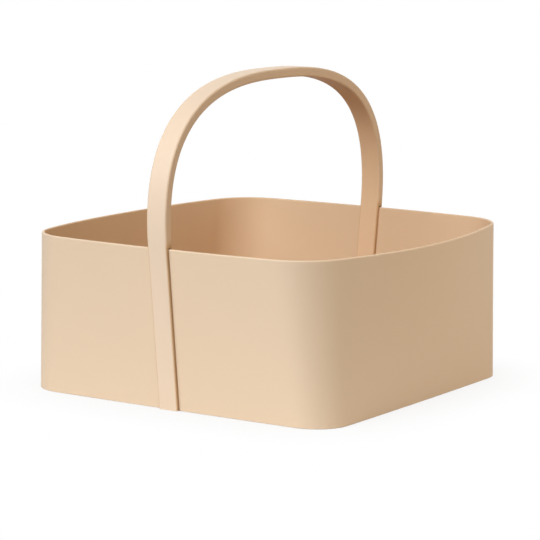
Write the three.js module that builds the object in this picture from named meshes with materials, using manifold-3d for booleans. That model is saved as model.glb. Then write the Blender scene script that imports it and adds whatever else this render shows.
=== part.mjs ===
// A low square storage basket of smooth sand-coloured sheet, with one fixed arched handle.
// Millimetres, +Z up. The origin is the middle of the base, on the surface that the basket stands on.
// The handle arches along Y, from the front side (-Y) to the rear side (+Y).
import * as THREE from "three";
import { mergeVertices } from "three/addons/utils/BufferGeometryUtils.js";
import Module from "manifold-3d";

// Sheet that the wall and the three handle strips are cut from
const SHEET = 2.6;
const GLUE_LINE = 0.25;

// Side wall: a strip bent round the square base, which relaxes to a rounder and wider rim.
// Each outline has bowed sides: bowX is the bulge of the left and right sides, bowY of the other two.
const WALL_HEIGHT = 133.8;
const FOOT = { halfX: 150, halfY: 150, corner: 31, bowX: 0.9, bowY: 0.9 };
const RIM = { halfX: 159.6, halfY: 166.6, corner: 47, bowX: 14.2, bowY: 4.2 };
const RIM_SAG = 1.4;
const SEAM = 0.6;

// Base panel
const BASE_THICKNESS = 5;
const BASE_FIT = 0.4;

// Handle: three strips, glued into an arch above the rim and forked over the wall below it
const HANDLE_WIDTH = 18.8;
const ARCH_HEIGHT = 264.4;
const ARCH_RISE = 129;
const ARCH_SPREAD = 60.5;
const FORK_ROOM = 1;

// Pins that lock the wall into the handle's forks, two across and two up in each leg
const PIN_RADIUS = 1.5;
const PIN_BITE = 1.4;
const PIN_CLEARANCE = 0.25;
const PIN_ACROSS = { left: -5, right: 5 };
const PIN_HEIGHTS = { lower: 40, upper: 100 };

// Smoothness of the round forms
const HALF_SIDE_STEPS = 8;
const CORNER_STEPS = 12;
const WALL_ROWS = 4;
const ARCH_STEPS = 30;
const PIN_SIDES = 16;

const QUARTER = Math.PI / 2;
const wasm = await Module();
wasm.setup();

const sand = new THREE.MeshStandardMaterial({ color: 0xe3c8aa, roughness: 0.6, metalness: 0 });
const steel = new THREE.MeshStandardMaterial({ color: 0xb8babd, roughness: 0.35, metalness: 1 });

// The arc of one bowed side, tangent to the corner arcs at its two ends.
function sideArc(cornerDistance, corner, bow) {
  const depth = corner + bow;
  const radius = (cornerDistance ** 2 + depth ** 2 - corner ** 2) / (2 * bow);
  return { radius, angle: Math.atan2(cornerDistance, radius - depth) };
}

// Points round a rounded square of tangent arcs, clockwise from the middle of the rear side.
// An inset gives the parallel outline inside it, and a seam leaves that much open at the start.
// Every outline has the same number of points on each arc, so two outlines join corner to corner.
function outline({ halfX, halfY, corner, bowX, bowY }, inset, seam) {
  const cornerX = halfX - bowX - corner;
  const cornerY = halfY - bowY - corner;
  const rear = sideArc(cornerX, corner, bowY);
  const right = sideArc(cornerY, corner, bowX);
  const rearCentre = halfY - rear.radius;
  const rightCentre = halfX - right.radius;
  const rearEnd = QUARTER - rear.angle;
  const seamAngle = seam / 2 / rear.radius;
  const points = [];
  const arc = (steps, x, y, radius, from, to) => {
    const curve = new THREE.ArcCurve(x, y, radius - inset, from, to, true);
    points.push(...curve.getPoints(steps).slice(points.length ? 1 : 0));
  };
  const sideSteps = 2 * HALF_SIDE_STEPS;
  arc(HALF_SIDE_STEPS, 0, rearCentre, rear.radius, QUARTER - seamAngle, rearEnd);
  arc(CORNER_STEPS, cornerX, cornerY, corner, rearEnd, right.angle);
  arc(sideSteps, rightCentre, 0, right.radius, right.angle, -right.angle);
  arc(CORNER_STEPS, cornerX, -cornerY, corner, -right.angle, -rearEnd);
  arc(sideSteps, 0, -rearCentre, rear.radius, -rearEnd, rearEnd - Math.PI);
  arc(CORNER_STEPS, -cornerX, -cornerY, corner, rearEnd - Math.PI, right.angle - Math.PI);
  arc(sideSteps, -rightCentre, 0, right.radius, right.angle - Math.PI, -right.angle - Math.PI);
  arc(CORNER_STEPS, -cornerX, cornerY, corner, -right.angle - Math.PI, -rearEnd - Math.PI);
  arc(HALF_SIDE_STEPS, 0, rearCentre, rear.radius, -rearEnd - Math.PI, seamAngle - 3 * QUARTER);
  return points;
}

// The rim hangs a little lower towards the middle of the left and right sides, which no leg holds.
function rimHeight(point) {
  const towardsLegs = point.y / RIM.halfY;
  return WALL_HEIGHT - RIM_SAG * (1 - towardsLegs ** 2) ** 2;
}

// Points up one straight line of the bent sheet, from its foot to its rim.
function wallLine(low, high) {
  const bottom = new THREE.Vector3(low.x, low.y, 0);
  const top = new THREE.Vector3(high.x, high.y, rimHeight(high));
  const rows = Array.from({ length: WALL_ROWS + 1 }, (_, row) => row / WALL_ROWS);
  return rows.map((share) => bottom.clone().lerp(top, share));
}

// One skin of the wall, as a list of such lines.
function wallSkin(inset) {
  const rim = outline(RIM, inset, SEAM);
  return outline(FOOT, inset, SEAM).map((low, step) => wallLine(low, rim[step]));
}

// A closed solid through equal rings of points: each ring goes up one skin of a sheet and down the other.
function sheetSolid(rings) {
  const size = rings[0].length;
  const faces = [];
  const quad = (a, b, c, d) => faces.push(a, b, c, a, c, d);
  for (let ring = 0; ring + 1 < rings.length; ring += 1) {
    for (let here = 0; here < size; here += 1) {
      const next = (here + 1) % size;
      const start = ring * size;
      quad(start + here, start + next, start + size + next, start + size + here);
    }
  }
  const lastRing = (rings.length - 1) * size;
  for (let row = 0; row + 1 < size / 2; row += 1) {
    const back = size - 1 - row;
    quad(row, back, back - 1, row + 1);
    quad(lastRing + row, lastRing + row + 1, lastRing + back - 1, lastRing + back);
  }
  const geometry = new THREE.BufferGeometry().setFromPoints(rings.flat());
  geometry.setIndex(faces);
  return geometry;
}

// The strip of sheet whose two ends meet, with a fine seam, inside the rear leg of the handle.
function wallGeometry() {
  const inside = wallSkin(SHEET);
  return sheetSolid(wallSkin(0).map((line, step) => [...line, ...inside[step].reverse()]));
}

function baseGeometry() {
  const edge = outline(FOOT, SHEET + BASE_FIT, 0).slice(0, -1);
  return new THREE.ExtrudeGeometry(new THREE.Shape(edge), {
    depth: BASE_THICKNESS,
    bevelEnabled: false,
  });
}

// Each leg leans out with the middle of its side of the wall.
const legFootY = FOOT.halfY - SHEET / 2;
const legLean = Math.atan2(RIM.halfY - FOOT.halfY, WALL_HEIGHT);

// A point on the rear leg at a height, at a distance out from the middle of the sheet.
function legPoint(outward, height) {
  return new THREE.Vector2(
    legFootY + height * Math.tan(legLean) + outward / Math.cos(legLean),
    height,
  );
}

// The rear half of the arch: it goes on along the leg and comes level at the top.
function halfArch() {
  const start = legPoint(0, WALL_HEIGHT + FORK_ROOM);
  const along = new THREE.Vector2(Math.sin(legLean), Math.cos(legLean));
  return new THREE.CubicBezierCurve(
    start,
    start.clone().addScaledVector(along, ARCH_RISE),
    new THREE.Vector2(ARCH_SPREAD, ARCH_HEIGHT),
    new THREE.Vector2(0, ARCH_HEIGHT),
  );
}

// One edge of a strip, from the rear end over the arch to the front end.
// Without a foot height the strip ends where the fork begins.
function stripEdge(outward, footHeight) {
  const arch = halfArch();
  const rear = footHeight === undefined ? [] : [legPoint(outward, footHeight)];
  for (let step = 0; step <= ARCH_STEPS; step += 1) {
    const along = arch.getTangent(step / ARCH_STEPS);
    const out = new THREE.Vector2(along.y, -along.x);
    rear.push(arch.getPoint(step / ARCH_STEPS).addScaledVector(out, outward));
  }
  const front = rear.slice(0, -1).reverse();
  return [...rear, ...front.map((point) => new THREE.Vector2(-point.x, point.y))];
}

// A strip of the handle, drawn from the side and given its width along X.
function stripGeometry(layer, footHeight) {
  const middle = layer * (SHEET + GLUE_LINE);
  const outside = stripEdge(middle + SHEET / 2, footHeight);
  const inside = stripEdge(middle - SHEET / 2, footHeight);
  const side = new THREE.Shape([...outside, ...inside.reverse()]);
  const geometry = new THREE.ExtrudeGeometry(side, { depth: HANDLE_WIDTH, bevelEnabled: false });
  geometry.translate(0, 0, -HANDLE_WIDTH / 2);
  const sideOn = new THREE.Matrix4().makeBasis(
    new THREE.Vector3(0, 1, 0),
    new THREE.Vector3(0, 0, 1),
    new THREE.Vector3(1, 0, 0),
  );
  return geometry.applyMatrix4(sideOn);
}

// A pin square to the leaning wall, or with some clearance the bore that takes it.
function pinGeometry(side, across, height, clearance) {
  const reach = SHEET + 2 * (GLUE_LINE + PIN_BITE + clearance);
  const geometry = new THREE.CylinderGeometry(
    PIN_RADIUS + clearance,
    PIN_RADIUS + clearance,
    reach,
    PIN_SIDES,
  );
  geometry.rotateX(-side * legLean);
  return geometry.translate(across, side * legPoint(0, height).x, height);
}

// Every pin's place: which leg, which side of its middle line and how high.
const pinPlaces = [];
for (const [leg, side] of Object.entries({ front: -1, rear: 1 })) {
  for (const [level, height] of Object.entries(PIN_HEIGHTS)) {
    for (const [hand, across] of Object.entries(PIN_ACROSS)) {
      pinPlaces.push({ name: `${leg}_fork_pin_${level}_${hand}`, side, across, height });
    }
  }
}

function toSolid(geometry) {
  const bare = geometry.clone();
  bare.deleteAttribute("normal");
  bare.deleteAttribute("uv");
  const merged = mergeVertices(bare);
  return new wasm.Manifold(
    new wasm.Mesh({
      numProp: 3,
      vertProperties: merged.getAttribute("position").array,
      triVerts: new Uint32Array(merged.index.array),
    }),
  );
}

function toGeometry(solid) {
  const { vertProperties, triVerts } = solid.getMesh();
  const geometry = new THREE.BufferGeometry();
  geometry.setAttribute("position", new THREE.BufferAttribute(vertProperties, 3));
  geometry.setIndex(new THREE.BufferAttribute(triVerts, 1));
  geometry.computeVertexNormals();
  return geometry;
}

function withPinBores(geometry) {
  let solid = toSolid(geometry);
  for (const { side, across, height } of pinPlaces) {
    solid = solid.subtract(toSolid(pinGeometry(side, across, height, PIN_CLEARANCE)));
  }
  return toGeometry(solid);
}

const basket = new THREE.Group();

function addPiece(name, geometry, material) {
  const mesh = new THREE.Mesh(geometry, material);
  mesh.name = name;
  basket.add(mesh);
}

addPiece("side_wall", withPinBores(wallGeometry()), sand);
addPiece("base_panel", baseGeometry(), sand);
addPiece("handle_outer_strip", withPinBores(stripGeometry(1, 0)), sand);
addPiece("handle_core_strip", stripGeometry(0), sand);
addPiece("handle_inner_strip", withPinBores(stripGeometry(-1, BASE_THICKNESS + GLUE_LINE)), sand);
for (const { name, side, across, height } of pinPlaces) {
  addPiece(name, pinGeometry(side, across, height, 0), steel);
}

export default basket;
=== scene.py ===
"""Looks of a low square storage basket of smooth sand-coloured sheet, with one fixed arched handle.

Metres, +Z up. The basket stands on z = 0 with its middle at the origin, and its handle arches along Y.
"""

import logging
import math
from collections.abc import Callable, Iterable, Mapping
from dataclasses import dataclass, field
from enum import Enum
from typing import Any, Self

import bmesh
import bpy
from mathutils import Matrix, Quaternion, Vector
from mathutils.geometry import interpolate_bezier


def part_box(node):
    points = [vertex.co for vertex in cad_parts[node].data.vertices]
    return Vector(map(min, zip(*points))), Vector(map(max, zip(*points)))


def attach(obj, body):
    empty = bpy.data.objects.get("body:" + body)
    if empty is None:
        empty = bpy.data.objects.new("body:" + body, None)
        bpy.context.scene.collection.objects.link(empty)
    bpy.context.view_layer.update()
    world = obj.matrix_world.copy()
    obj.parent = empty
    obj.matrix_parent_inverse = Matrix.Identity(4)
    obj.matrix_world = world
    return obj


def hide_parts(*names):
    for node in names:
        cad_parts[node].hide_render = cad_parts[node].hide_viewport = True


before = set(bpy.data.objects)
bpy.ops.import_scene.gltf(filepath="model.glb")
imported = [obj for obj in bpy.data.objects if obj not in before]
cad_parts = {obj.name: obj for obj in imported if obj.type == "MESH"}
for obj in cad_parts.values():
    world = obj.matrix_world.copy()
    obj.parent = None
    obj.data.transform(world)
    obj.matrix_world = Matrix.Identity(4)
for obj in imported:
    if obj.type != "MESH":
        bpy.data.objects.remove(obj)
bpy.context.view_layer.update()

MM = 0.001
BODY = "root"
UP = Vector((0, 0, 1))
# Vertex attribute for painted shade: 0 keeps the skin, 1 paints the shade tone, 2 the darker painted
# shadow.
PAINTED_SHADE_MAP = "rawness"

# Tints of the lamps
COOL = (0.95, 0.975, 1)
MILD = (1, 0.94, 0.84)
WARM = (1, 0.79, 0.52)

Colour = tuple[float, float, float, float]
log = logging.getLogger("storage_basket")


class Slot(Enum):
    """The record's material slots."""

    WALL = "wall_sheet"
    BASE = "base_sheet"
    HANDLE = "handle_strip"
    PIN = "fork_pin"


class Layer(Enum):
    """The three layers of the handle, by the side of the middle sheet that each lies on."""

    OUTER = 1
    CORE = 0
    INNER = -1

    @property
    def node(self) -> str:
        """Name of the node that this layer stands for."""
        return f"handle_{self.name.lower()}_strip"


class Leg(Enum):
    """The two legs of the handle, by the sign of their Y."""

    FRONT = -1
    REAR = 1


class Signal:
    """An output socket of a shader node, with arithmetic that adds Math nodes."""

    def __init__(self, board: "NodeBoard", socket: bpy.types.NodeSocket) -> None:
        """Wraps one socket of a board."""
        self.board = board
        self.socket = socket

    def _math(self, operation: str, first: "Signal | float", second: "Signal | float") -> "Signal":
        """Adds a Math node.

        Args:
            operation: The Math node's operation.
            first: Its first value or link.
            second: Its second value or link.

        Returns:
            The node's result.
        """
        return self.board.output("ShaderNodeMath", 0, {"operation": operation}, {0: first, 1: second})

    def __add__(self, other: "Signal | float") -> "Signal":
        """Sum with a value or another signal."""
        return self._math("ADD", self, other)

    __radd__ = __add__

    def __sub__(self, other: "Signal | float") -> "Signal":
        """This signal less a value or another signal."""
        return self._math("SUBTRACT", self, other)

    def __rsub__(self, other: float) -> "Signal":
        """A value less this signal."""
        return self._math("SUBTRACT", other, self)

    def __mul__(self, other: "Signal | float") -> "Signal":
        """Product with a value or another signal."""
        return self._math("MULTIPLY", self, other)

    __rmul__ = __mul__

    def at_most(self, limit: float) -> "Signal":
        """This signal, held below a limit."""
        return self._math("MINIMUM", self, limit)


class NodeBoard:
    """A node tree that is filled one node at a time."""

    MIX_COLOURS = 6, 7
    MIX_RESULT = 2

    def __init__(self, owner: bpy.types.Material | bpy.types.World) -> None:
        """Starts with an empty node tree.

        Args:
            owner: The material or world whose tree it is.
        """
        owner.use_nodes = True
        self.tree = owner.node_tree
        self.tree.nodes.clear()

    def node(
        self,
        kind: str,
        settings: Mapping[str, Any] | None = None,
        sockets: Mapping[str | int, Any] | None = None,
    ) -> bpy.types.Node:
        """Adds any node.

        Args:
            kind: The node's type.
            settings: Its settings, which are set first.
            sockets: Values or links of its input sockets, by name or number.

        Returns:
            The new node.
        """
        node = self.tree.nodes.new(kind)
        for name, value in (settings or {}).items():
            setattr(node, name, value)
        for key, value in (sockets or {}).items():
            if isinstance(value, Signal):
                self.tree.links.new(value.socket, node.inputs[key])
            else:
                node.inputs[key].default_value = value
        return node

    def output(
        self,
        kind: str,
        socket: str | int,
        settings: Mapping[str, Any] | None = None,
        sockets: Mapping[str | int, Any] | None = None,
    ) -> Signal:
        """Adds a node and gives one of its outputs.

        Args:
            kind: The node's type.
            socket: Name or number of the output.
            settings: The node's settings.
            sockets: Values or links of its inputs.

        Returns:
            The output.
        """
        return Signal(self, self.node(kind, settings, sockets).outputs[socket])

    def mix(self, share: Signal, none: Signal | Colour, full: Signal | Colour) -> Signal:
        """Blends two colours.

        Args:
            share: Share of the second colour.
            none: The colour at a share of 0.
            full: The colour at a share of 1.

        Returns:
            The blended colour.
        """
        low, high = self.MIX_COLOURS
        colours = {0: share, low: none, high: full}
        return self.output("ShaderNodeMix", self.MIX_RESULT, {"data_type": "RGBA"}, colours)

    def noise(self, place: Signal, size: float, detail: float) -> Signal:
        """Adds a soft noise.

        Args:
            place: The coordinates that it reads.
            size: Size of its largest features.
            detail: Number of finer octaves.

        Returns:
            The noise, from 0 to 1.
        """
        sockets = {"Vector": place, "Scale": 1 / size, "Detail": detail}
        return self.output("ShaderNodeTexNoise", "Fac", None, sockets)

    def place(self) -> Signal:
        """Object coordinates, which are metres in the basket's own frame."""
        return self.output("ShaderNodeTexCoord", "Object")

    def seen(self) -> Signal:
        """Tells rays that show a thing, straight or in a reflection, from rays that only light it.

        Returns:
            1 for a ray that shows it, and 0 for any other.
        """
        path = self.node("ShaderNodeLightPath")
        straight, mirrored, through = (
            Signal(self, path.outputs[f"Is {kind} Ray"]) for kind in ("Camera", "Glossy", "Transmission")
        )
        return (straight + mirrored + through).at_most(1)


@dataclass(frozen=True)
class SandSheet:
    """Sand-coloured sheet: a satin pale skin, painted shade where shade falls, faint clouds and a fine
    grain.

    A vertex attribute says where shade is painted: 0 keeps the skin, 1 paints a dull, darker shade tone
    on faces inside the basket, and 2 paints a still darker shadow on a strip's side in a joint with the
    wall.
    """

    name: str
    skin: Colour = (0.738, 0.564, 0.398, 1)
    # Painted shade: the darker tone on faces inside the basket and on the handle's inner strips.
    raw: Colour = (0.668, 0.466, 0.299, 1)
    # Painted shadow: a still darker tone on the strips' sides in the fork, beside the wall.
    cut: Colour = (0.46, 0.265, 0.125, 1)
    cloud: Colour = (0.6, 0.42, 0.26, 1)
    cloud_share: float = 0.08
    cloud_size: float = 60 * MM
    grain_size: float = 0.8 * MM
    grain_depth: float = 0.02 * MM
    roughness: float = 0.6
    roughness_spread: float = 0.1
    gloss: float = 0.1
    satin: float = 0.4
    satin_roughness: float = 0.4

    def material(self) -> bpy.types.Material:
        """Builds the sheet's material from its sizes and tones.

        Returns:
            The material.
        """
        made = bpy.data.materials.new(self.name)
        board = NodeBoard(made)
        place = board.place()
        rawness = board.output("ShaderNodeAttribute", "Fac", {"attribute_name": PAINTED_SHADE_MAP})
        clouds = board.noise(place, self.cloud_size, detail=3)
        grain = board.noise(place, self.grain_size, detail=2)
        bump = {"Height": grain, "Distance": self.grain_depth, "Strength": 1}
        # Mixes the skin with the painted shade tone and the painted shadow, by the painted shade
        # attribute.
        tone = board.mix(rawness - 1, board.mix(rawness, self.skin, self.raw), self.cut)
        surface = {
            "Base Color": board.mix(clouds * self.cloud_share, tone, self.cloud),
            "Roughness": self.roughness + (grain - 0.5) * self.roughness_spread,
            "Specular IOR Level": self.gloss,
            # No satin coat where shade is painted.
            "Coat Weight": (1 - rawness.at_most(1)) * self.satin,
            "Coat Roughness": self.satin_roughness,
            "Normal": board.output("ShaderNodeBump", "Normal", None, bump),
        }
        shader = board.output("ShaderNodeBsdfPrincipled", "BSDF", None, surface)
        board.node("ShaderNodeOutputMaterial", None, {"Surface": shader})
        return made


@dataclass(frozen=True)
class BrushedSteel:
    """Drawn steel wire: fine dull marks, and a roughness that follows them."""

    name: str
    colour: Colour = (0.52, 0.53, 0.54, 1)
    dull: Colour = (0.44, 0.45, 0.46, 1)
    mark_size: float = 0.3 * MM
    roughness: float = 0.32
    roughness_spread: float = 0.15

    def material(self) -> bpy.types.Material:
        """Builds the steel's material from its sizes and tones.

        Returns:
            The material.
        """
        made = bpy.data.materials.new(self.name)
        board = NodeBoard(made)
        marks = board.noise(board.place(), self.mark_size, detail=4)
        surface = {
            "Base Color": board.mix(marks, self.dull, self.colour),
            "Metallic": 1,
            "Roughness": self.roughness + (marks - 0.5) * self.roughness_spread,
        }
        shader = board.output("ShaderNodeBsdfPrincipled", "BSDF", None, surface)
        board.node("ShaderNodeOutputMaterial", None, {"Surface": shader})
        return made


@dataclass(frozen=True)
class WhiteFloor:
    """Studio floor: white where it is seen, with a share of real shading that keeps the basket's shadow.

    It throws light back only near the basket, as a small white table does.
    """

    name: str = "studio_floor"
    colour: Colour = (0.65, 0.65, 0.65, 1)
    far_colour: Colour = (0, 0, 0, 1)
    table: float = 300 * MM
    table_fade: float = 300 * MM
    shadow_reach: float = 70 * MM
    shadow_share: float = 0.28

    def material(self) -> bpy.types.Material:
        """Builds the floor's material.

        Returns:
            The material.
        """
        made = bpy.data.materials.new(self.name)
        board = NodeBoard(made)
        reach = {"Distance": self.shadow_reach}
        open_share = board.output("ShaderNodeAmbientOcclusion", "AO", None, reach)
        white_share = 1 - (1 - open_share) * self.shadow_share
        seen = board.seen()
        length = {"operation": "LENGTH"}
        distance = board.output("ShaderNodeVectorMath", "Value", length, {0: board.place()})
        fade = {"Value": distance, "From Min": self.table, "From Max": self.table + self.table_fade}
        beyond = board.output("ShaderNodeMapRange", 0, None, fade)
        colour = board.mix(beyond, self.colour, self.far_colour)
        shaded = board.output("ShaderNodeBsdfDiffuse", "BSDF", None, {"Color": colour})
        white = board.output("ShaderNodeEmission", "Emission", None, {"Strength": 1})
        both = {0: seen * white_share, 1: shaded, 2: white}
        shader = board.output("ShaderNodeMixShader", 0, None, both)
        board.node("ShaderNodeOutputMaterial", None, {"Surface": shader})
        return made


class Mould:
    """A mesh in the making, which ends as a finished piece of the basket."""

    SHARP = math.radians(40)

    def __init__(self) -> None:
        """Starts with an empty mesh."""
        self.shape = bmesh.new()

    def sharp_edges(self) -> list[bmesh.types.BMEdge]:
        """Edges where two faces meet at a clear angle."""
        closed = [edge for edge in self.shape.edges if edge.is_manifold]
        return [edge for edge in closed if edge.calc_face_angle() > self.SHARP]

    def round_edges(self, edges: Iterable[bmesh.types.BMEdge], radius: float, segments: int = 4) -> None:
        """Rounds edges.

        Args:
            edges: The edges to round.
            radius: Radius of the round.
            segments: Number of facets across it.
        """
        bmesh.ops.bevel(
            self.shape,
            geom=list(edges),
            offset=radius,
            offset_type="OFFSET",
            affect="EDGES",
            segments=segments,
            profile=0.5,
            material=-1,
            clamp_overlap=True,
        )

    def mark_raw(self, share: Callable[[bmesh.types.BMVert], float]) -> None:
        """Marks how much shade is painted on the sheet at each vertex.

        Args:
            share: Gives the share of painted shade at a vertex, which is held above 0.
        """
        bmesh.ops.recalc_face_normals(self.shape, faces=self.shape.faces[:])
        self.shape.normal_update()
        layer = self.shape.verts.layers.float.new(PAINTED_SHADE_MAP)
        for vertex in self.shape.verts:
            vertex[layer] = max(share(vertex), 0)

    def piece(self, name: str, node: str, material: bpy.types.Material) -> bpy.types.Object:
        """Turns the mesh into a piece of the basket that stands for a CAD node.

        Args:
            name: Name of the piece.
            node: The CAD node that it replaces.
            material: Its finish.

        Returns:
            The piece, in place.
        """
        mesh = bpy.data.meshes.new(name)
        bmesh.ops.recalc_face_normals(self.shape, faces=self.shape.faces[:])
        self.shape.to_mesh(mesh)
        self.shape.free()
        mesh.shade_smooth()
        mesh.set_sharp_from_angle(angle=self.SHARP)
        mesh.materials.append(material)
        made = bpy.data.objects.new(name, mesh)
        bpy.context.scene.collection.objects.link(made)
        even = made.modifiers.new("even_shading", "WEIGHTED_NORMAL")
        even.keep_sharp = True
        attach(made, BODY)
        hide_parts(node)
        log.info("%s: %d faces", name, len(mesh.polygons))
        return made


@dataclass(frozen=True)
class RoundedSquare:
    """A rounded square of tangent arcs: its four sides bow out a little and meet in round corners."""

    half_x: float
    half_y: float
    corner: float
    bow_x: float
    bow_y: float
    side_steps: int = 40
    corner_steps: int = 28

    def inset(self, by: float) -> Self:
        """The parallel outline inside this one."""
        return type(self)(self.half_x - by, self.half_y - by, self.corner - by, self.bow_x, self.bow_y)

    def side_arc(self, corner_distance: float, bow: float) -> tuple[float, float]:
        """Works out the arc of one bowed side, tangent to the corners at its ends.

        Args:
            corner_distance: How far each corner's centre is from the middle of the side, along it.
            bow: How far the side bulges.

        Returns:
            The arc's radius, and the angle from its middle to its end.
        """
        depth = self.corner + bow
        radius = (corner_distance**2 + depth**2 - self.corner**2) / (2 * bow)
        return radius, math.atan2(corner_distance, radius - depth)

    def draw(self, shape: bmesh.types.BMesh, height: float, seam: float = 0) -> list[bmesh.types.BMEdge]:
        """Draws the outline clockwise from the middle of the rear side, spinning a vertex round each arc.

        Args:
            shape: The mesh to draw in.
            height: Height of the outline.
            seam: Width that stays open at the start.

        Returns:
            The outline's edges.
        """
        corner_x = self.half_x - self.bow_x - self.corner
        corner_y = self.half_y - self.bow_y - self.corner
        rear_radius, rear_half = self.side_arc(corner_x, self.bow_y)
        right_radius, right_half = self.side_arc(corner_y, self.bow_x)
        rear_y = self.half_y - rear_radius
        right_x = self.half_x - right_radius
        open_half = seam / 2 / rear_radius
        turn = math.pi / 2 - rear_half - right_half
        half_steps = self.side_steps // 2
        arcs = (
            (0, rear_y, rear_half - open_half, half_steps),
            (corner_x, corner_y, turn, self.corner_steps),
            (right_x, 0, 2 * right_half, self.side_steps),
            (corner_x, -corner_y, turn, self.corner_steps),
            (0, -rear_y, 2 * rear_half, self.side_steps),
            (-corner_x, -corner_y, turn, self.corner_steps),
            (-right_x, 0, 2 * right_half, self.side_steps),
            (-corner_x, corner_y, turn, self.corner_steps),
            (0, rear_y, rear_half - open_half, half_steps),
        )
        known = set(shape.edges)
        start_x = rear_radius * math.sin(open_half)
        start_y = rear_y + rear_radius * math.cos(open_half)
        tip = [shape.verts.new((start_x, start_y, height))]
        for x, y, angle, steps in arcs:
            spun = bmesh.ops.spin(
                shape,
                geom=tip,
                cent=(x, y, height),
                axis=UP,
                angle=-angle,
                steps=steps,
                use_duplicate=False,
            )
            tip = [part for part in spun["geom_last"] if isinstance(part, bmesh.types.BMVert)]
        return [edge for edge in shape.edges if edge not in known]


@dataclass
class SideWall:
    """The strip of sheet that is bent round the base, and relaxes to a rounder and wider rim."""

    foot: RoundedSquare
    rim: RoundedSquare
    height: float
    sheet: float
    rim_sag: float = 1.4 * MM
    seam: float = 0.6 * MM
    rim_radius: float = 1.2 * MM
    foot_radius: float = 0.6 * MM
    rows: int = 14

    def sag_at(self, y: float) -> float:
        """How much lower the rim hangs at a place along the sides that no leg holds."""
        return self.rim_sag * (1 - (y / self.rim.half_y) ** 2) ** 2

    def level(self, shape: bmesh.types.BMesh) -> None:
        """Brings both skins of the sheet to one height along the foot and along the rim.

        Args:
            shape: The wall's mesh.
        """
        for vertex in shape.verts:
            rim = self.height - self.sag_at(vertex.co.y)
            if vertex.co.z < self.sheet:
                vertex.co.z = 0
            elif vertex.co.z > rim - self.sheet:
                vertex.co.z = rim
        shape.normal_update()

    def build(self, finish: SandSheet) -> bpy.types.Object:
        """Bends the strip from its foot to its rim, and gives it its thickness and eased edges.

        Args:
            finish: The sheet's finish.

        Returns:
            The wall.
        """
        mould = Mould()
        shape = mould.shape
        foot = self.foot.draw(shape, 0, self.seam)
        rim = self.rim.draw(shape, self.height, self.seam)
        for vertex in {vertex for edge in rim for vertex in edge.verts}:
            vertex.co.z -= self.sag_at(vertex.co.y)
        rungs = bmesh.ops.bridge_loops(shape, edges=foot + rim)["edges"]
        bmesh.ops.subdivide_edges(shape, edges=rungs, cuts=self.rows - 1, use_grid_fill=True)
        bmesh.ops.recalc_face_normals(shape, faces=shape.faces[:])
        bmesh.ops.solidify(shape, geom=shape.faces[:], thickness=self.sheet)
        self.level(shape)
        cut_ends = {face for face in shape.faces if abs(face.calc_center_median().x) < self.seam}
        showing = [edge for edge in mould.sharp_edges() if not cut_ends.intersection(edge.link_faces)]
        high = {edge for edge in showing if edge.verts[0].co.z > self.height / 2}
        mould.round_edges(set(showing) - high, self.foot_radius)
        mould.round_edges(high, self.rim_radius, segments=6)
        # Painted shade: faces that look into the basket get the shade tone, the more the further they
        # face inwards.
        mould.mark_raw(lambda vertex: -vertex.normal.xy.dot(vertex.co.xy.normalized()))
        return mould.piece("basket_wall", "side_wall", finish.material())


@dataclass
class BasePanel:
    """The flat panel inside the foot of the wall."""

    outline: RoundedSquare
    thickness: float
    edge_radius: float = 0.8 * MM

    def build(self, finish: SandSheet) -> bpy.types.Object:
        """Cuts the panel out and eases its edges.

        Args:
            finish: The panel's finish.

        Returns:
            The panel.
        """
        mould = Mould()
        shape = mould.shape
        self.outline.draw(shape, 0)
        bmesh.ops.remove_doubles(shape, verts=shape.verts[:], dist=0.1 * MM)
        bmesh.ops.contextual_create(shape, geom=shape.edges[:])
        raised = bmesh.ops.extrude_face_region(shape, geom=shape.faces[:], use_keep_orig=True)["geom"]
        lifted = [part for part in raised if isinstance(part, bmesh.types.BMVert)]
        bmesh.ops.translate(shape, verts=lifted, vec=UP * self.thickness)
        mould.round_edges(mould.sharp_edges(), self.edge_radius)
        # Painted shade: the whole panel gets the shade tone, as it lies in the basket's shade.
        mould.mark_raw(lambda vertex: 1)
        return mould.piece("basket_floor", "base_panel", finish.material())


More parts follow.
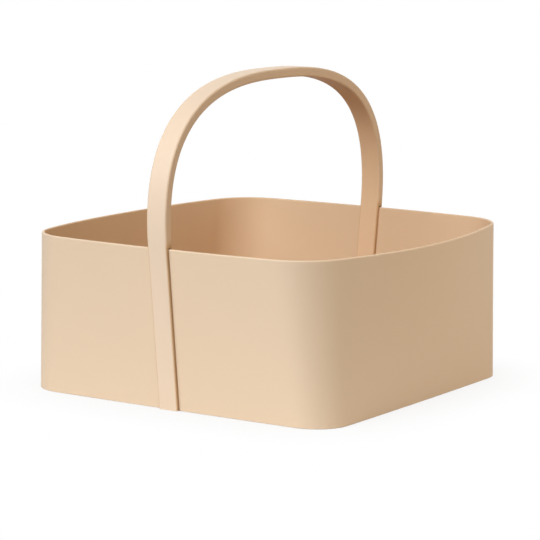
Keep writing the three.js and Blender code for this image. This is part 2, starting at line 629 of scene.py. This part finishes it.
@dataclass
class Handle:
    """Three strips of sheet, glued into an arch above the rim and forked over the wall below it."""

    foot_y: float
    rim_y: float
    wall_height: float
    base_thickness: float
    width: float
    sheet: float
    glue_line: float = 0.25 * MM
    arch_height: float = 264.4 * MM
    arch_rise: float = 129 * MM
    arch_spread: float = 60.5 * MM
    fork_room: float = 1 * MM
    edge_radius: float = 1.7 * MM
    # Painted shadow on the strips' sides in the fork, the lighter painted shade on the arch's sides, and
    # the fade between.
    cut_side: float = 2
    sealed_side: float = 0.45
    shade_fade: float = 6 * MM
    contact_radius: float = 0.6 * MM
    snug: float = 0.06 * MM
    arch_steps: int = 56

    def __post_init__(self) -> None:
        """Works out how far the legs lean out with the wall."""
        self.lean = math.atan2(self.rim_y - self.foot_y, self.wall_height)

    def leg_point(self, height: float) -> Vector:
        """The middle of the wall's sheet at a height, in the rear leg."""
        return Vector((0, self.foot_y - self.sheet / 2 + height * math.tan(self.lean), height))

    def middle_line(self, foot: float | None) -> list[Vector]:
        """Draws the line that the middle of the handle follows, from the rear to the front.

        Args:
            foot: Height of its two ends, or None to end where the fork begins.

        Returns:
            Points on the line.
        """
        start = self.leg_point(self.wall_height + self.fork_room)
        along = Vector((0, math.sin(self.lean), math.cos(self.lean)))
        top = UP * self.arch_height
        shoulder = top + Vector((0, self.arch_spread, 0))
        rear = interpolate_bezier(start, start + along * self.arch_rise, shoulder, top, self.arch_steps)
        if foot is not None:
            rear.insert(0, self.leg_point(foot))
        front = [Vector((0, -point.y, point.z)) for point in reversed(rear[:-1])]
        return rear + front

    def ribbon(self, shape: bmesh.types.BMesh, line: list[Vector], out: float) -> None:
        """Draws a line as a ribbon of the handle's width.

        Args:
            shape: The mesh to draw in.
            line: Points on the handle's middle line.
            out: Distance that the ribbon lies outside that line.
        """
        side = Vector((-self.width / 2, 0, 0))
        points = [shape.verts.new(point + side) for point in line]
        edges = [shape.edges.new(pair) for pair in zip(points, points[1:])]
        drawn = bmesh.ops.extrude_edge_only(shape, edges=edges)["geom"]
        far = [part for part in drawn if isinstance(part, bmesh.types.BMVert)]
        bmesh.ops.translate(shape, verts=far, vec=-2 * side)
        shape.normal_update()
        if max(shape.faces, key=lambda face: face.calc_center_median().z).normal.z < 0:
            bmesh.ops.reverse_faces(shape, faces=shape.faces[:])
            shape.normal_update()
        for vertex in shape.verts:
            vertex.co += vertex.normal * out

    def rawness(self, layer: Layer, place: Vector) -> float:
        """Works out how much shade is painted on a strip: the core and inner strips get the shade tone on
        their faces, and the sides get a dark painted shadow in the fork, fading above the rim to a
        lighter painted shade.

        Args:
            layer: Which layer.
            place: A point on it.

        Returns:
            The share of painted shade.
        """
        # Above the rim, the fork's painted shadow on the sides fades into a lighter painted shade.
        above_rim = min(max((place.z - self.wall_height) / self.shade_fade, 0), 1)
        side = self.cut_side + (self.sealed_side - self.cut_side) * above_rim
        # The core and inner strips get the painted shade tone on their faces; the outer strip keeps its
        # skin.
        face = 0 if layer is Layer.OUTER else 1
        share = max(1 - (self.width / 2 - abs(place.x)) / self.edge_radius, 0)
        return face + (side - face) * share

    def runs_along(self, edge: bmesh.types.BMEdge) -> bool:
        """Tells if an edge runs along a strip, and not across it."""
        return abs(edge.verts[0].co.x - edge.verts[1].co.x) < self.snug

    def lies_on_wall(self, edge: bmesh.types.BMEdge) -> bool:
        """Tells if an edge is a long edge of a leg, below the rim.

        Args:
            edge: An edge of a strip.

        Returns:
            True if it is.
        """
        low, high = sorted(vertex.co.z for vertex in edge.verts)
        return high - low > self.wall_height / 2 and high < self.wall_height + self.sheet

    def strip(self, layer: Layer, foot: float | None, finish: SandSheet) -> bpy.types.Object:
        """Makes one layer of the handle.

        Args:
            layer: Which layer.
            foot: Height at which its two ends are trimmed level, or None to end where the fork begins.
            finish: The sheet's finish.

        Returns:
            The strip.
        """
        mould = Mould()
        shape = mould.shape
        reach = self.sheet / 2 + self.snug
        below = None if foot is None else foot - 2 * self.sheet
        self.ribbon(shape, self.middle_line(below), (layer.value or -1) * reach)
        hidden = set(shape.verts)
        depth = 2 * reach if layer is Layer.CORE else self.sheet + self.glue_line - self.snug
        thickness = depth if layer is Layer.INNER else -depth
        bmesh.ops.solidify(shape, geom=shape.faces[:], thickness=thickness)
        if foot is not None:
            whole = shape.verts[:] + shape.edges[:] + shape.faces[:]
            bmesh.ops.bisect_plane(shape, geom=whole, plane_co=UP * foot, plane_no=UP, clear_inner=True)
            bmesh.ops.holes_fill(shape, edges=shape.edges[:], sides=0)
        if layer is not Layer.CORE:
            showing = [edge for edge in mould.sharp_edges() if not hidden.intersection(edge.verts)]
            along = [edge for edge in showing if self.runs_along(edge)]
            mould.round_edges(along, self.edge_radius, segments=6)
            on_wall = [edge for edge in mould.sharp_edges() if self.lies_on_wall(edge)]
            mould.round_edges(on_wall, self.contact_radius, segments=2)
        # Paints the strip's shade tone, and the darker shadow on its sides in the fork.
        mould.mark_raw(lambda vertex: self.rawness(layer, vertex.co))
        return mould.piece(f"basket_{layer.node}", layer.node, finish.material())

    def build(self, finish: SandSheet) -> list[bpy.types.Object]:
        """Makes the three layers.

        Args:
            finish: The sheet's finish.

        Returns:
            The strips, from the outside in.
        """
        feet = {Layer.OUTER: 0.0, Layer.CORE: None, Layer.INNER: self.base_thickness + self.snug}
        return [self.strip(layer, foot, finish) for layer, foot in feet.items()]


@dataclass
class ForkPins:
    """Short blind pins through the wall, which lock it between the tongues of the handle's forks."""

    handle: Handle
    radius: float = 1.5 * MM
    bite: float = 1.4 * MM
    chamfer: float = 0.3 * MM
    sides: int = 32
    across: Mapping[str, float] = field(default_factory=lambda: {"left": -5 * MM, "right": 5 * MM})
    heights: Mapping[str, float] = field(default_factory=lambda: {"lower": 40 * MM, "upper": 100 * MM})

    def pin(
        self,
        name: str,
        leg: Leg,
        across: float,
        height: float,
        finish: BrushedSteel,
    ) -> bpy.types.Object:
        """Makes one pin, square to the leaning wall.

        Args:
            name: Name of its CAD node.
            leg: The leg that it is in.
            across: Its place across the leg.
            height: Its height.
            finish: The steel's finish.

        Returns:
            The pin.
        """
        mould = Mould()
        length = self.handle.sheet + 2 * (self.handle.glue_line + self.bite)
        middle = self.handle.leg_point(height)
        tilt = Matrix.Rotation(math.pi / 2 - leg.value * self.handle.lean, 4, "X")
        place = Matrix.Translation((across, leg.value * middle.y, height)) @ tilt
        bmesh.ops.create_cone(
            mould.shape,
            cap_ends=True,
            segments=self.sides,
            radius1=self.radius,
            radius2=self.radius,
            depth=length,
            matrix=place,
        )
        mould.round_edges(mould.sharp_edges(), self.chamfer, segments=2)
        return mould.piece(f"basket_{name}", name, finish.material())

    def build(self, finish: BrushedSteel) -> list[bpy.types.Object]:
        """Makes the pins of both legs.

        Args:
            finish: The steel's finish.

        Returns:
            The pins.
        """
        made = []
        for leg in Leg:
            for level, height in self.heights.items():
                for hand, across in self.across.items():
                    name = f"{leg.name.lower()}_fork_pin_{level}_{hand}"
                    made.append(self.pin(name, leg, across, height, finish))
        return made


@dataclass(frozen=True)
class Softbox:
    """A large soft lamp that is aimed at the basket.

    Its level is how bright a white surface that faces it looks, from 0 to 1. A lamp that doesn't shine
    lights the basket without showing in its reflections.
    """

    name: str
    azimuth: float
    elevation: float
    distance: float
    size: float
    level: float
    colour: tuple[float, float, float] = (1, 1, 1)
    shines: bool = True

    def place(self, aim: Vector) -> None:
        """Hangs the lamp round the point that it is aimed at.

        Args:
            aim: That point.
        """
        lamp = bpy.data.lights.new(self.name, "AREA")
        lamp.shape = "SQUARE"
        lamp.size = self.size
        lamp.color = self.colour
        lamp.energy = self.level * (math.pi * self.distance) ** 2
        back = towards_viewer(self.azimuth, self.elevation)
        made = bpy.data.objects.new(self.name, lamp)
        made.visible_glossy = self.shines
        made.location = aim + back * self.distance
        made.rotation_euler = back.to_track_quat("Z", "Y").to_euler()
        bpy.context.scene.collection.objects.link(made)


@dataclass
class Studio:
    """The white floor, the soft light and the camera."""

    aim: Vector = field(default_factory=lambda: Vector((-1.925, 0, 95.63)) * MM)
    azimuth: float = 32.766
    elevation: float = 8.827
    roll: float = 0.662
    distance: float = 2101.9 * MM
    lens: float = 163.93
    sensor: float = 36
    floor_half: float = 12
    ambient: Colour = (0.024, 0.02, 0.016, 1)
    lamps: tuple[Softbox, ...] = (
        Softbox("key_softbox", 1, elevation=38, distance=2.6, size=1.6, level=0.715, colour=COOL),
        Softbox("left_softbox", -22, elevation=34, distance=2.6, size=1.6, level=0.36, colour=COOL),
        Softbox("top_softbox", 10, elevation=80, distance=2.4, size=1.4, level=0.2, colour=COOL),
        Softbox("low_softbox", 8, elevation=0, distance=0.7, size=0.18, level=0.062, colour=COOL),
        Softbox("side_reflector", 98, elevation=24, distance=0.7, size=0.38, level=0.24, colour=WARM),
        Softbox("rear_reflector", 128, elevation=11, distance=2.6, size=1.15, level=0.2, colour=MILD),
        Softbox(
            "back_fill", 216, elevation=22, distance=2.6, size=1.6, level=0.32, colour=MILD, shines=False
        ),
    )

    def floor(self) -> None:
        """Lays the floor just under the basket."""
        shape = bmesh.new()
        bmesh.ops.create_grid(shape, x_segments=1, y_segments=1, size=self.floor_half)
        mesh = bpy.data.meshes.new("studio_floor")
        shape.to_mesh(mesh)
        shape.free()
        mesh.materials.append(WhiteFloor().material())
        made = bpy.data.objects.new("studio_floor", mesh)
        bpy.context.scene.collection.objects.link(made)

    def surroundings(self) -> None:
        """Sets the even light of the room, which is white where it is seen."""
        world = bpy.data.worlds.new("white_room")
        bpy.context.scene.world = world
        board = NodeBoard(world)
        colour = board.mix(board.seen(), self.ambient, (1, 1, 1, 1))
        shown = board.output("ShaderNodeBackground", 0, None, {"Color": colour, "Strength": 1})
        board.node("ShaderNodeOutputWorld", None, {"Surface": shown})

    def camera(self) -> None:
        """Sets the camera where the photograph was taken from."""
        back = towards_viewer(self.azimuth, self.elevation)
        data = bpy.data.cameras.new("camera")
        data.lens = self.lens
        data.sensor_width = self.sensor
        made = bpy.data.objects.new("camera", data)
        made.location = self.aim + back * self.distance
        turn = Quaternion((0, 0, 1), math.radians(self.roll))
        made.rotation_euler = (back.to_track_quat("Z", "Y") @ turn).to_euler()
        bpy.context.scene.collection.objects.link(made)
        bpy.context.scene.camera = made

    def build(self) -> None:
        """Sets up the whole studio."""
        self.floor()
        self.surroundings()
        for lamp in self.lamps:
            lamp.place(self.aim)
        self.camera()
        bpy.context.scene.view_settings.view_transform = "Standard"


def towards_viewer(azimuth: float, elevation: float) -> Vector:
    """The direction from the basket to a viewer.

    Args:
        azimuth: Degrees round from the front side of the basket, towards its right side.
        elevation: Degrees above the horizon.

    Returns:
        A unit vector.
    """
    turn, rise = math.radians(azimuth), math.radians(elevation)
    return Vector((math.sin(turn) * math.cos(rise), -math.cos(turn) * math.cos(rise), math.sin(rise)))


def main() -> None:
    """Builds the basket's sub-assemblies and the studio, in order."""
    logging.basicConfig(level=logging.INFO, format="%(message)s")
    sheet = 2.6 * MM
    base_fit = 0.4 * MM
    _, wall_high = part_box("side_wall")
    _, base_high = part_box("base_panel")
    _, strip_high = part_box("handle_outer_strip")
    foot_half = base_high.x + base_fit + sheet
    foot = RoundedSquare(foot_half, foot_half, corner=31 * MM, bow_x=0.9 * MM, bow_y=0.9 * MM)
    rim = RoundedSquare(wall_high.x, wall_high.y, corner=47 * MM, bow_x=14.2 * MM, bow_y=4.2 * MM)
    wall = SideWall(foot, rim, wall_high.z, sheet)
    base = BasePanel(foot.inset(sheet + base_fit), base_high.z)
    handle = Handle(foot.half_y, rim.half_y, wall.height, base.thickness, 2 * strip_high.x, sheet)
    wall.build(SandSheet("wall_sand"))
    base.build(SandSheet("base_sand"))
    # Painted light: the handle's skin and shade tones are paler than the wall's, though it is the same
    # sheet, for the brighter light on the arch.
    handle.build(SandSheet("handle_sand", skin=(0.762, 0.594, 0.44, 1), raw=(0.71, 0.484, 0.3, 1)))
    ForkPins(handle).build(BrushedSteel("pin_steel"))
    Studio().build()


if __name__ == "__main__":
    main()
